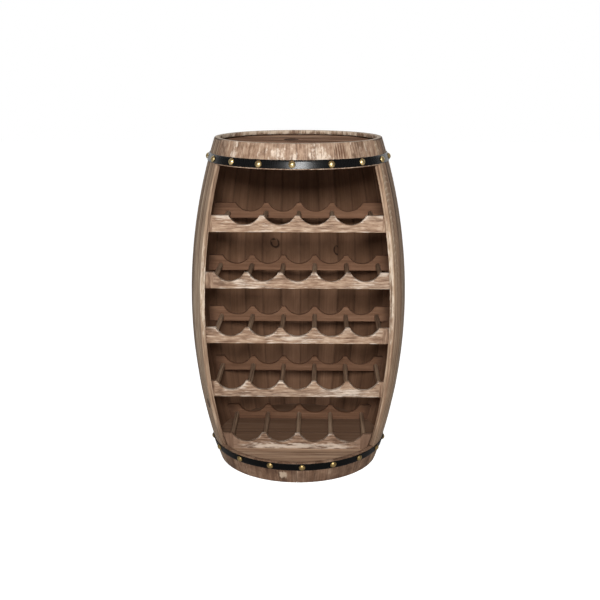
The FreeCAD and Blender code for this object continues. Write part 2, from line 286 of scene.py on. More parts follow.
def wood(name, look, place=None):
    shade = Shade(bpy.data.materials.new(name))
    if place is None:
        grain, knot = shade.attribute("grain"), shade.attribute("knot")
        if look.get("upright"):
            lengthwise, crosswise, deep = shade.parts(grain)
            grain = shade.node("ShaderNodeCombineXYZ", {}, {"X": crosswise, "Y": lengthwise, "Z": deep})
        edge, pale, dark = shade.parts(shade.attribute("marks"))
        tone = shade.attribute("tone", "Fac")
    else:  # a plain solid without marks of its own
        grain, knot = place(shade), None
        edge, pale, dark, tone = 0.0, 0.0, 0.0, 0.5
    along, across, depth = shade.parts(grain)
    sway = shade.noise(grain, woodCut["swayStretch"], 2)
    bend = shade.noise(grain, woodCut["bendStretch"], 2)
    fibre = shade.noise(grain, woodCut["fibreStretch"], 2)
    broad = shade.noise(grain, woodCut["broadStretch"], 2)
    streak = shade.noise(grain, look["streakStretch"], 3, 0.6)
    cloud = shade.noise(grain, look["cloudStretch"], 3, 0.6)
    halo = 0.0
    if knot is not None:
        knotU, knotV, _ = shade.parts(knot)
        reach = (knotU * knotU + knotV * knotV) ** 0.5 + (broad - 0.5) * knotCut["ragged"]
        halo = 1 - shade.fade(reach, *knotCut["halo"])
        core = 1 - shade.fade(reach, *knotCut["core"])
        gaps = shade.fade(shade.noise(knot, knotCut["gapStretch"], 1), *knotCut["gaps"])
        crack = shade.band(reach, knotCut["ringRise"], knotCut["ringFall"]) * gaps
    # growth rings about the log's heart, pushed aside by a knot
    ringU = across + along * look["slant"] + (sway - 0.5) * look["sway"]
    ringV = depth + (bend - 0.5) * (look["sway"] * 0.5)
    turns = (ringU * ringU + ringV * ringV) ** 0.5 * (1 / look["ring"]) + halo * knotCut["push"]
    part = shade.node("ShaderNodeMath", {"operation": "FRACT"}, {0: turns})
    late = shade.band(part, woodCut["lateRise"], woodCut["lateFall"])
    value = 0.5 + (streak - 0.5) * look["streak"] + (fibre - 0.5) * look["fibre"]
    value = value + (broad - 0.5) * look["broad"] - late * look["rings"]
    value = value + (tone - 0.5) * look["tone"] + (cloud - 0.5) * look["cloud"]
    color = shade.ramp(value, look["stops"])
    if look["grey"]:
        greyness = shade.fade(shade.noise(grain, woodCut["greyStretch"], 3), *woodCut["greySpan"])
        color = shade.mix(greyness * look["grey"], color, shade.ramp(value, look["greyStops"]))
    if knot is not None:
        color = shade.mix(core * knotCut["coreShare"], color, linear(look["knotColor"]))
        color = shade.mix(crack * knotCut["ringShare"], color, linear(look["knotRing"]))
    roughness = look["rough"] + (streak - 0.5) * woodCut["roughStreak"]
    height = streak * relief["streak"] + fibre * relief["fibre"] + late * (look["rings"] * relief["rings"])
    if look["wash"]:  # what is left of white paint
        worn = shade.noise(grain, look["washStretch"], 4, 0.66)
        worn = worn + pale * look["palePull"] + edge * look["edgePull"]
        worn = worn + (fibre - 0.5) * woodCut["washFibre"] + (streak - 0.5) * woodCut["washStreak"]
        washed = shade.fade(worn, look["washFrom"], look["washFrom"] + woodCut["washSpan"]) * look["wash"]
        color = shade.mix(washed, color, linear(look["washColor"]))
        roughness = roughness + washed * woodCut["roughWash"]
        height = height + washed * relief["wash"]
    # dark marks pull the colour to the stain colour: real stains, and painted shade on the top's rim, the
    # floor's back and the back boards' ends
    speckle = (fibre - 0.5) * woodCut["stainAndShadeFibre"]
    if "comb" in look:  # torn grain in close upright lines
        comb = across + (sway - 0.5) * combCut["sway"] + (bend - 0.5) * combCut["bend"]
        comb = (comb + (cloud - 0.5) * combCut["cloud"]) * look["comb"]
        tooth = shade.node("ShaderNodeMath", {"operation": "PINGPONG"}, {0: comb, 1: 0.5}) * 2
        stainedAndShaded = shade.fade(dark * (combCut["base"] + tooth) + speckle, *combCut["span"])
    else:
        stainedAndShaded = dark + (streak - 0.5) * woodCut["stainAndShadeStreak"] + speckle
        stainedAndShaded = shade.fade(stainedAndShaded, *woodCut["stainAndShadeSpan"])
    stainedAndShaded = stainedAndShaded * look["stainAndShade"]
    color = shade.mix(stainedAndShaded, color, linear(look["stainAndShadeColor"]))
    height = height + stainedAndShaded * relief["stainAndShade"]
    if "arches" in look:  # flat-sawn figure: nested arches down the middle of the board
        rise = along + across * across * archCut["bow"] + (bend - 0.5) * archCut["bend"]
        rise = (rise + (streak - 0.5) * archCut["ragged"]) * archCut["perMetre"]
        arch = shade.node("ShaderNodeMath", {"operation": "FRACT"}, {0: rise})
        middle = 1 - shade.fade(across * across, *archCut["sides"])
        middle = middle * shade.fade(along, *archCut["start"]) * look["arches"]
        ridge = shade.band(arch, archCut["rise"], archCut["fall"])
        crest = ridge * middle * shade.fade(cloud, *archCut["worn"])
        color = shade.mix((1 - ridge) * middle * archCut["shadow"], color, linear(look["lineColor"]))
        color = shade.mix(crest, color, linear(look["washColor"]))
    if "seam" in look:  # dirt in the joints
        dirt = shade.fade(edge, *woodCut["seamSpan"]) * look["seam"]
        color = shade.mix(dirt, color, linear(look["seamColor"]))
    line = shade.fade(shade.noise(grain, look["lineStretch"], 2), *woodCut["lineSpan"]) * look["lines"]
    pit = shade.fade(shade.noise(grain, woodCut["pitStretch"], 1), *woodCut["pitSpan"]) * look["pits"]
    color = shade.mix(pit, shade.mix(line, color, linear(look["lineColor"])), linear(look["pitColor"]))
    height = height + pit * relief["pits"] + line * relief["lines"]
    shade.feed({
        "Base Color": color, "Roughness": roughness, "Specular IOR Level": look["shine"],
        "Normal": shade.bump(height, look["bump"], woodCut["bumpDepth"]),
    })
    return shade.material


# Woods. Stops go from the darkest grain to the lightest
staveLook = {
    "stops": [(0.1, (66, 48, 36)), (0.36, (116, 92, 73)), (0.6, (154, 129, 106)), (0.9, (204, 181, 156))],
    "greyStops": [
        (0.1, (74, 64, 55)), (0.38, (122, 107, 92)), (0.62, (158, 142, 125)), (0.9, (206, 191, 174))],
    "grey": 0.3, "slant": 0.02, "sway": 0.05, "ring": 0.0062,
    "streak": 1.9, "streakStretch": (1.3, 120, 120), "fibre": 0.6, "broad": 0.5, "rings": 0.12, "tone": 0.2,
    "cloud": 0.3, "cloudStretch": (20, 60, 60),
    "lines": 0.65, "lineStretch": (2.5, 330, 330), "lineColor": (72, 53, 41),
    "knotColor": (70, 46, 32), "knotRing": (38, 25, 18),
    "wash": 0.7, "washStretch": (5, 60, 60), "washFrom": 0.72, "palePull": 0.4, "edgePull": 0.2,
    "washColor": (216, 199, 178),
    "stainAndShade": 0.8, "stainAndShadeColor": (58, 42, 32), "pits": 0.5, "pitColor": (60, 44, 34),
    "rough": 0.68, "shine": 0.2, "bump": 0.6,
}
outsideLook = {**staveLook, "tone": 0.34, "seam": 0.75, "seamColor": (40, 29, 22)}
staveOutside = wood("stave_outside", outsideLook)
staveFlatSawn = wood("stave_flat_sawn", {
    **outsideLook, "arches": 0.66, "streak": 1.1, "tone": 0.1,
    "stops": [(0.1, (84, 61, 47)), (0.36, (145, 115, 91)), (0.6, (184, 154, 126)), (0.9, (220, 196, 170))],
})
staveInside = wood("stave_inside", {
    **staveLook,
    "stops": [(0.1, (70, 47, 34)), (0.4, (104, 76, 57)), (0.62, (122, 91, 70)), (0.9, (148, 115, 92))],
    "grey": 0.0, "streak": 0.26, "fibre": 0.3, "rings": 0.05, "tone": 0.25, "wash": 0.0,
    "lines": 0.12, "lineColor": (52, 34, 25), "pits": 0.25, "pitColor": (40, 26, 19),
    "knotColor": (100, 72, 54), "knotRing": (26, 16, 11), "seam": 0.28, "seamColor": (34, 22, 16),
    "rough": 0.75, "shine": 0.1, "bump": 0.3,
})
staveEdge = wood("stave_sawn_edge", {
    **staveLook,
    "stops": [(0.1, (86, 64, 49)), (0.38, (132, 105, 84)), (0.62, (164, 137, 113)), (0.9, (206, 184, 160))],
    "grey": 0.15, "streak": 1.4, "streakStretch": (5, 190, 190),
    "wash": 0.8, "washStretch": (40, 160, 160), "edgePull": 0.05,
})
rimWood = wood("rim_wood", {
    **staveLook,
    "stops": [(0.1, (84, 61, 46)), (0.38, (132, 104, 83)), (0.62, (166, 139, 115)), (0.9, (204, 182, 158))],
    "streak": 0.8, "streakStretch": (9, 120, 120), "tone": 0.1,
    "wash": 0.8, "washStretch": (24, 40, 40), "washFrom": 0.55, "edgePull": 0.3,
})
bandWood = wood("band_wood", {
    **staveLook,
    "stops": [(0.1, (86, 62, 47)), (0.38, (138, 109, 88)), (0.62, (168, 140, 117)), (0.9, (202, 179, 157))],
    "greyStops": [
        (0.1, (92, 76, 64)), (0.4, (140, 121, 105)), (0.62, (168, 151, 135)), (0.9, (204, 190, 174))],
    "streak": 0.9, "streakStretch": (30, 230, 230), "fibre": 0.7, "broad": 0.4, "rings": 0.03, "tone": 0.08,
    "cloud": 1.0, "cloudStretch": (60, 62, 62), "lines": 0.3, "lineStretch": (24, 330, 330),
    "wash": 0.8, "washStretch": (84, 100, 100), "washFrom": 0.61, "palePull": 0.42, "edgePull": 0.05,
    "washColor": (224, 207, 189), "comb": 165, "stainAndShadeColor": (94, 64, 48),
})
footWood = wood("foot_wood", {
    **staveLook,
    "stops": [(0.1, (68, 46, 34)), (0.4, (108, 81, 63)), (0.62, (136, 107, 86)), (0.9, (172, 144, 120))],
    "greyStops": [
        (0.1, (74, 58, 48)), (0.4, (114, 94, 79)), (0.62, (138, 118, 101)), (0.9, (168, 149, 131))],
    "streak": 0.7, "streakStretch": (9, 170, 170), "rings": 0.03, "tone": 0.08,
    "cloud": 0.9, "cloudStretch": (38, 30, 30), "lines": 0.25, "lineStretch": (14, 330, 330),
    "washStretch": (22, 48, 48), "washFrom": 0.76, "palePull": 0.75, "edgePull": 0.05,
    "washColor": (206, 184, 160),
})
print("stave woods made")

# Staves
staveCut = {
    "round": 0.0013, "roundSwing": 0.35, "roundWave": 0.12, "insideRound": 0.0006, "endRound": 0.0016,
    "chips": 7, "chipDepth": 0.0016, "chipLength": 0.012, "wander": 0.00045, "wanderWave": 0.16,
    "relief": 0.0004, "hollow": (0.2, 0.012), "skin": 0.0001, "slack": 0.00004, "step": 0.010,
    "edgeWear": 0.0035, "endWear": 0.006, "shortWear": 0.2, "knotLong": 1.25, "grooveSide": 0.0001,
}
faceShares = (np.array([-1, -0.93, -0.78, -0.5, -0.17, 0.17, 0.5, 0.78, 0.93, 1]) + 1) / 2
innerShares = np.array([0.6, 0.2, -0.2, -0.6])
cornerTurns = np.radians([30, 60, 90])
grooveSteps = [barrel["topLow"], barrel["topRoom"], barrel["floorLow"], barrel["floorRoom"]]
# round a stave: outside 0, inside 1, sides 2; the rim is 3
staveLooks = np.array([0] * 12 + [2] * 2 + [1] * 7 + [2] * 2 + [0] * 3)


def chipped(rng, z, low, high, worn):
    # how far a corner is rounded off along its length
    swing = 1 + staveCut["roundSwing"] * waves(nextSeed(rng), staveCut["roundWave"])(z)
    size = staveCut["round"] * worn * swing
    for _ in range(int(staveCut["chips"] * (high - low) / barrel["height"]) + 1):
        spot, depth = rng.uniform(low, high), staveCut["chipDepth"] * worn * rng.uniform(0.2, 1)
        size = size + depth * np.exp(-((z - spot) / (staveCut["chipLength"] * rng.uniform(0.4, 1.4))) ** 2)
    return size


def addStave(stock, seed, start, low, high, spots=(), worn=1.0, slack=0.0,
             knot=None, tone=None, heart=None, free=0):
    rng = np.random.default_rng(seed)
    offset, chance = lie(seed)
    tone = chance if tone is None else tone
    if heart is not None:  # flat-sawn about this line
        offset[:2] = 0, -heart
    middle, spread = math.radians(start + staveAngle / 2), math.radians(staveAngle / 2)
    lip, side = staveCut["endRound"], staveCut["grooveSide"]
    steps = [step + shift for step in grooveSteps for shift in (-side, side) if low + lip < step < high - lip]
    z = np.linspace(low + lip, high - lip, max(7, int((high - low) / staveCut["step"])))
    z = np.sort(np.concatenate([z, steps]))
    z = np.concatenate([[low, low + softStep * lip], z, [high - softStep * lip, high]])
    inset = np.zeros(len(z))
    inset[[0, -1]], inset[[1, -2]] = lip, softStep * lip
    outer, inner = wallRadius(z), wallRadius(z, barrel["thick"])
    for panel in ("top", "floor"):
        grooved = (z > barrel[panel + "Low"]) & (z < barrel[panel + "Room"])
        inner = np.where(grooved, barrel[panel + "Groove"], inner)
    thick = (outer - inner)[:, None]
    roundRight, roundLeft = (chipped(rng, z, low, high, worn)[:, None] for _ in range(2))
    halves = []
    for _ in range(2):
        wander = staveCut["wander"] * worn * (0.5 + 0.5 * waves(nextSeed(rng), staveCut["wanderWave"])(z))
        halves.append((spread * outer - barrel["seam"] / 2 - wander - inset)[:, None])
    right, left = halves
    joint = (spread * outer - slack)[:, None]  # beside the next stave
    soft, inset = staveCut["insideRound"], inset[:, None]
    back = thick - inset
    face = -(left - roundLeft) + faceShares * (left - roundLeft + right - roundRight)
    hollow = hollows(nextSeed(rng), *staveCut["hollow"])
    dent = staveCut["relief"] * hollow(np.broadcast_to(z[:, None], face.shape), face)
    sideways, inwards = 1 - np.sin(cornerTurns), 1 - np.cos(cornerTurns)
    across = np.concatenate([
        face, right - roundRight * sideways, joint, joint, joint - soft, (joint - soft) * innerShares,
        soft - joint, -joint, -joint, roundLeft * sideways[::-1] - left], 1)
    depth = np.concatenate([
        inset + dent + staveCut["skin"], inset + roundRight * inwards, thick / 2, back - soft, back,
        back * np.ones(len(innerShares)), back, back - soft, thick / 2, inset + roundLeft * inwards[::-1]], 1)
    angle, radius = middle + across / outer[:, None], outer[:, None] - depth
    height = np.broadcast_to(z[:, None], across.shape)
    rings = np.stack([radius * np.sin(angle), -radius * np.cos(angle), height], -1)
    # joints on both sides, or where free is 1 or -1 only on the left or the right
    gap = (np.minimum(right - across, across + left), across + left, right - across)[free]
    edge = np.exp(-np.abs(gap) / staveCut["edgeWear"])
    edge = np.maximum(edge, np.exp(-np.minimum(height - low, high - height) / staveCut["endWear"]))
    pale, dark = patches(np.degrees(angle), height, spots, "angle")
    knots = noKnot(across.shape)
    if knot:
        lean = math.radians(knot.get("lean", 0))
        rise, run = height - knot["z"], (angle - math.radians(knot["angle"])) * outer[:, None]
        knots[..., 0] = (rise * math.cos(lean) + run * math.sin(lean)) / (knot["size"] * staveCut["knotLong"])
        knots[..., 1] = (run * math.cos(lean) - rise * math.sin(lean)) / knot["size"]
        if not knot.get("inside"):
            knots[depth > barrel["thick"] / 2] = farOff
    looks = np.broadcast_to(staveLooks, (len(z) - 1, across.shape[1])).copy()
    aboveTop = (z[1:] + z[:-1]) / 2 > barrel["topHigh"]
    looks[aboveTop[:, None] & (looks == 1)] = 3
    grain, marks = np.stack([height, across, depth], -1) + offset, np.stack([edge, pale, dark], -1)
    stock.loft(rings, grain, marks, knots, tone, looks, endLook=3)


oneStave = {  # what sets single staves apart; 1 and 20 stand beside the opening
    1: {"tone": 0.55, "heart": -0.008, "free": -1, "spots": [
        {"angle": 60, "wide": 1.2, "z": 0.47, "tall": 0.17, "pale": 0.75},
        {"angle": 60, "wide": 1.2, "z": 0.075, "tall": 0.05, "dark": 0.45}]},
    2: {"tone": 0.85}, 3: {"tone": 0.8}, 6: {"heart": 0.006}, 11: {"heart": -0.004}, 15: {"heart": 0.009},
    9: {"knot": {"angle": 156.5, "z": 0.4785, "size": 0.0088, "inside": True}},
    12: {"knot": {"angle": 196, "z": 0.496, "size": 0.0103, "lean": 38, "inside": True}},
    18: {"tone": 0.6}, 19: {"tone": 0.66},
    20: {"tone": 0.68, "free": 1, "spots": [
        {"angle": 300, "wide": 1.2, "z": 0.45, "tall": 0.13, "pale": 0.8},
        {"angle": 300, "wide": 1.2, "z": 0.69, "tall": 0.06, "dark": 0.3},
        {"angle": 300, "wide": 1.2, "z": 0.08, "tall": 0.055, "dark": 0.5}]},
}
otherKnots = {"chance": 0.5, "angle": (3, 9), "z": (0.1, 0.7), "size": (0.005, 0.011)}
knotRng = np.random.default_rng(seeds["knots"])
for number in range(1, barrel["staves"] - barrel["openStaves"] + 1):
    startAngle = openAngle + (number - 1) * staveAngle
    own = dict(oneStave.get(number, {}))
    if "knot" not in own and knotRng.uniform() < otherKnots["chance"]:
        own["knot"] = {key: knotRng.uniform(*otherKnots[key]) for key in ("angle", "z", "size")}
        own["knot"]["angle"] += startAngle
    stock = Stock()
    addStave(stock, seeds["stave"] + number, startAngle, 0.0, barrel["height"], **own)
    name = f"stave_{number:02d}"
    outside = staveFlatSawn if "heart" in own else staveOutside
    stock.build(name + "_board", [outside, staveInside, staveEdge, rimWood], "stave_wood", [name])

headerSpots = [
    {"angle": -43, "wide": 2.2, "z": 0.78, "tall": 0.022, "pale": 0.7},
    {"angle": -37, "wide": 3.4, "z": 0.772, "tall": 0.012, "dark": 0.3},
    {"angle": -21, "wide": 3.0, "z": 0.775, "tall": 0.014, "pale": 0.35},
    {"angle": -11, "wide": 5.0, "z": 0.776, "tall": 0.018, "pale": 0.6},
    {"angle": -1, "wide": 3.0, "z": 0.767, "tall": 0.012, "pale": 0.5},
    {"angle": 13, "wide": 5.5, "z": 0.778, "tall": 0.02, "pale": 0.56},
    {"angle": 20, "wide": 2.5, "z": 0.772, "tall": 0.014, "pale": 0.4},
    {"angle": 28, "wide": 5.6, "z": 0.782, "tall": 0.02, "dark": 0.55},
    {"angle": 42, "wide": 5.0, "z": 0.778, "tall": 0.02, "pale": 0.12},
]
footerSpots = [{"angle": -9.1, "wide": 2.8, "z": 0.0225, "tall": 0.0125, "pale": 0.82}]
shortStaves = {
    "header_staves": {"low": barrel["headerLow"], "high": barrel["height"], "seed": seeds["header"],
                      "spots": headerSpots, "wood": bandWood, "endWood": rimWood},
    "footer_staves": {"low": 0.0, "high": barrel["footerHigh"], "seed": seeds["footer"],
                      "spots": footerSpots, "wood": footWood, "endWood": footWood},
}
for name, row in shortStaves.items():
    stock = Stock()
    for index in range(barrel["openStaves"]):
        startAngle = index * staveAngle - openAngle
        addStave(stock, row["seed"] + index, startAngle, row["low"], row["high"], row["spots"],
                 worn=staveCut["shortWear"], slack=staveCut["slack"])
    stock.build(name + "_boards", [row["wood"], staveInside, staveEdge, row["endWood"]], "band_wood", [name])
print("staves made")

# Top and floor
# its stain colour also paints the shade where the top meets the rim
topWood = wood("top_wood", {
    **staveLook,
    "stops": [(0.1, (76, 49, 35)), (0.38, (134, 99, 76)), (0.62, (168, 130, 104)), (0.9, (206, 171, 144))],
    "grey": 0.0, "streak": 2.3, "streakStretch": (6, 56, 56), "rings": 0.2, "tone": 0.5,
    "lines": 0.6, "lineStretch": (6, 200, 200), "lineColor": (54, 35, 26),
    "wash": 0.5, "washStretch": (10, 50, 50), "washFrom": 0.7, "stainAndShadeColor": (38, 25, 18),
    "knotColor": (36, 21, 15), "knotRing": (22, 13, 9), "seam": 0.7, "seamColor": (38, 25, 18),
    "rough": 0.85, "shine": 0.02,
})
# its stain colour also paints the shade on the floor's back
floorWood = wood("floor_wood", {
    **staveLook,
    "stops": [(0.1, (104, 76, 58)), (0.4, (156, 125, 101)), (0.62, (184, 154, 128)), (0.9, (218, 194, 168))],
    "grey": 0.2, "streak": 1.2, "streakStretch": (4, 110, 110), "rings": 0.1, "lines": 0.22,
    "wash": 0.5, "washFrom": 0.74, "shine": 0.08,
    "stainAndShade": 0.85, "stainAndShadeColor": (107, 81, 63), "seam": 0.6, "seamColor": (52, 37, 28),
})
plankCut = {
    "count": 4, "gap": 0.0006, "round": 0.001, "tip": 0.0002, "relief": 0.0003, "hollow": (0.15, 0.014),
    "rows": 16, "edgeWear": 0.003, "rimShadeFade": 0.01, "shadeFade": 0.025, "shade": 0.8, "shadeGain": 0.3,
}
panels = {
    "top": {"wood": topWood, "radius": 0.19615, "rimShade": 0.022,
            "knots": {3: {"x": -0.018, "y": 0.04, "long": 0.014, "wide": 0.022}}},
    "floor": {"wood": floorWood, "radius": 0.20416, "shadeFrom": -0.12, "knots": {}},
}
plankShares = np.sin(np.linspace(-1, 1, 41) * math.pi / 2)


def addPlank(stock, seed, node, panel, number):
    offset, tone = lie(seed)
    low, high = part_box(node)
    radius, soft = panel["radius"], plankCut["round"]
    width = 2 * radius / plankCut["count"]
    front = max((number - 1) * width - radius + plankCut["gap"] / 2, -radius + plankCut["tip"])
    back = min(number * width - radius - plankCut["gap"] / 2, radius - plankCut["tip"])
    y = np.linspace(front + soft, back - soft, plankCut["rows"])
    y = np.concatenate([[front, front + softStep * soft], y, [back - softStep * soft, back]])
    inset = np.zeros(len(y))
    inset[[0, -1]], inset[[1, -2]] = soft, softStep * soft
    inset, half = inset[:, None], np.sqrt(radius ** 2 - y ** 2)[:, None]
    x = np.concatenate([half * plankShares, half * plankShares[::-4]], 1)
    across = np.broadcast_to(y[:, None], x.shape)
    dent = plankCut["relief"] * hollows(seed, *plankCut["hollow"])(x, across)
    upper = np.arange(x.shape[1]) < len(plankShares)
    z = np.where(upper, high.z - inset - dent, low.z + inset)
    edge = np.exp(-np.minimum(across - front, back - across) / plankCut["edgeWear"])
    knots, knot = noKnot(x.shape), panel["knots"].get(number)
    if knot:
        knots[..., 0], knots[..., 1] = (x - knot["x"]) / knot["long"], (across - knot["y"]) / knot["wide"]
    # painted shade: the top planks darken in a ring where they meet the rim
    if "rimShade" in panel:
        dark = np.clip((np.hypot(x, across) - radius + panel["rimShade"]) / plankCut["rimShadeFade"], 0, 1)
    else:  # duller towards the back
        # painted shade: the floor darkens behind the lowest front board, under the shelves
        gain = plankCut["shade"] + plankCut["shadeGain"] * np.clip(across / radius, 0, 1)
        dark = np.clip((across - panel["shadeFrom"]) / plankCut["shadeFade"], 0, 1) * gain
    grain = np.stack([x, across, z - low.z], -1) + offset
    marks = np.stack([edge, np.zeros(x.shape), dark], -1)
    stock.loft(np.stack([x, across, z], -1), grain, marks, knots, tone, 0)


for kind, panel in panels.items():
    for number in range(1, plankCut["count"] + 1):
        node = f"{kind}_plank_{number}"
        stock = Stock()
        addPlank(stock, seeds[kind] + number - 1, node, panel, number)
        stock.build(node + "_board", [panel["wood"]], kind + "_wood", [node])
print("top and floor made")

# Scalloped boards
frontBoardLook = {
    **staveLook,
    "stops": [(0.1, (96, 71, 55)), (0.38, (144, 115, 93)), (0.62, (174, 146, 122)), (0.9, (210, 188, 166))],
    "greyStops": [
        (0.1, (100, 85, 73)), (0.4, (146, 129, 113)), (0.62, (176, 160, 144)), (0.9, (210, 197, 183))],
    "slant": 0.03, "ring": 0.005, "rings": 0.03, "streak": 1.1, "streakStretch": (36, 240, 240),
    "fibre": 0.7, "tone": 0.5, "cloud": 1.0, "cloudStretch": (34, 170, 170),
    "lines": 0.35, "lineStretch": (16, 420, 420), "lineColor": (98, 72, 55),
    "washStretch": (30, 220, 220), "washFrom": 0.59, "edgePull": 0.42, "washColor": (222, 206, 189),
    "stainAndShade": 0.75, "stainAndShadeColor": (140, 112, 92), "pits": 0.6,
}
frontBoardWood = wood("front_board_wood", frontBoardLook)
endBlockWood = wood("end_block_wood", {
    **frontBoardLook, "upright": True,
    "stops": [(0.1, (88, 64, 49)), (0.38, (128, 100, 80)), (0.62, (154, 126, 103)), (0.9, (186, 160, 136))],
    "grey": 0.1, "slant": 0.0, "wash": 0.45, "washFrom": 0.7, "stainAndShadeColor": (116, 89, 71),
})
# its stain colour also paints the shade at the back boards' ends
backBoardWood = wood("back_board_wood", {
    **staveLook,
    "stops": [(0.1, (74, 49, 36)), (0.4, (112, 81, 61)), (0.62, (130, 97, 75)), (0.9, (158, 124, 100))],
    "grey": 0.0, "streak": 0.7, "streakStretch": (5, 160, 160), "fibre": 0.3, "broad": 0.4, "rings": 0.05,
    "lines": 0.2, "lineColor": (80, 54, 40), "wash": 0.3, "washFrom": 0.84, "edgePull": 0.14, "tone": 0.5,
    "rough": 0.72, "shine": 0.1, "stainAndShade": 0.7, "stainAndShadeColor": (62, 42, 31),
})
boardCut = {
    "peak": 0.010, "depth": 0.022, "scoopSteps": 160, "fine": 0.0002, "soften": 0.0017, "step": 0.0021,
    "round": 0.0011, "roundSwing": 0.5, "roundWave": 0.05, "bend": 0.29, "footRound": 0.0007, "clear": 0.0003,
    "endGap": 0.002, "endStep": 0.0008, "relief": 0.00035, "hollow": (0.12, 0.01),
    "wear": 0.55, "wearSwing": 0.45, "wearWave": 0.045,
    "edgeWear": 0.002, "crestReach": 0.006, "footShare": 0.55, "footWear": 0.0025,
    "endShadeReach": 0.055, "endShadeFade": 0.05, "rows": [0.1, 0.32, 0.55, 0.78],
}
shelves = {  # from the highest down
    1: {"cradles": 4, "pitch": 0.0824, "endRodShift": 0.16, "endBlocks": (0.012, 0.014), "tone": 0.5,
        "crestWear": 0.5, "backTone": 0.4, "backEndShade": 0.45, "spots": [
            {"x": -0.068, "wide": 0.016, "z": 0.012, "tall": 0.012, "pale": 0.35},
            {"x": -0.17, "wide": 0.02, "z": 0.036, "tall": 0.006, "pale": 0.4}]},
    2: {"cradles": 5, "pitch": 0.080, "endRodShift": 0, "endBlocks": (0.030, 0.012), "tone": 0.34,
        "crestWear": 0.5, "backTone": 0.45, "backEndShade": 0.5, "spots": [
            {"x": -0.11, "wide": 0.05, "z": 0.01, "tall": 0.012, "pale": 0.4},
            {"x": 0.16, "wide": 0.03, "z": 0.012, "tall": 0.012, "pale": 0.35}]},
    3: {"cradles": 5, "pitch": 0.080, "endRodShift": 0, "endBlocks": (0.012, 0.026), "tone": 0.33,
        "crestWear": 0.5, "backTone": 0.7, "backEndShade": 0.6, "spots": [
            {"x": 0.0, "wide": 0.07, "z": 0.012, "tall": 0.012, "pale": 0.4}]},
    4: {"cradles": 5, "pitch": 0.080, "endRodShift": 0, "endBlocks": (0.014, 0.018), "tone": 0.28,
        "crestWear": 0.5, "backTone": 0.4, "backEndShade": 0.7, "spots": [
            {"x": 0.105, "wide": 0.05, "z": 0.01, "tall": 0.012, "pale": 0.5},
            {"x": -0.15, "wide": 0.03, "z": 0.02, "tall": 0.012, "pale": 0.3}]},
    5: {"cradles": 4, "pitch": 0.0824, "endRodShift": 0, "endBlocks": (0.034, 0.036), "tone": 0.1,
        "crestWear": 0.0, "backTone": 0.4, "backEndShade": 0.8, "spots": [
            {"x": -0.006, "wide": 0.152, "z": 0.007, "tall": 0.0066, "pale": 0.74},
            {"x": -0.172, "wide": 0.03, "z": 0.02, "tall": 0.05, "dark": 1.0},
            {"x": 0.172, "wide": 0.03, "z": 0.02, "tall": 0.05, "dark": 1.0}]},
}


def scallops(count, pitch, half, high):
    # the upper edge, evenly spaced along its own length, with softened peaks
    chord, deep, fine = pitch - boardCut["peak"], boardCut["depth"], boardCut["fine"]
    scoop = (chord ** 2 / 4 + deep ** 2) / (2 * deep)
    sweep = math.asin(chord / 2 / scoop)
    turn = np.linspace(-sweep, sweep, boardCut["scoopSteps"])
    x, z = [[-half]], [[high]]
    for index in range(count):
        x.append((index - (count - 1) / 2) * pitch + scoop * np.sin(turn))
        z.append(high - deep + scoop * (1 - np.cos(turn)))
    x, z = np.concatenate(x + [[half]]), np.concatenate(z + [[high]])
    length = np.concatenate([[0], np.cumsum(np.hypot(np.diff(x), np.diff(z)))])
    places = np.linspace(0, length[-1], int(length[-1] / fine))
    reach = int(boardCut["soften"] / fine)
    kernel = np.ones(2 * reach + 1) / (2 * reach + 1)
    pick = np.linspace(0, len(places) - 1, int(length[-1] / boardCut["step"])).astype(int)[1:-1]
    lines = [np.pad(np.interp(places, length, line), reach, "edge") for line in (x, z)]
    return [np.convolve(line, kernel, "valid")[pick] for line in lines]


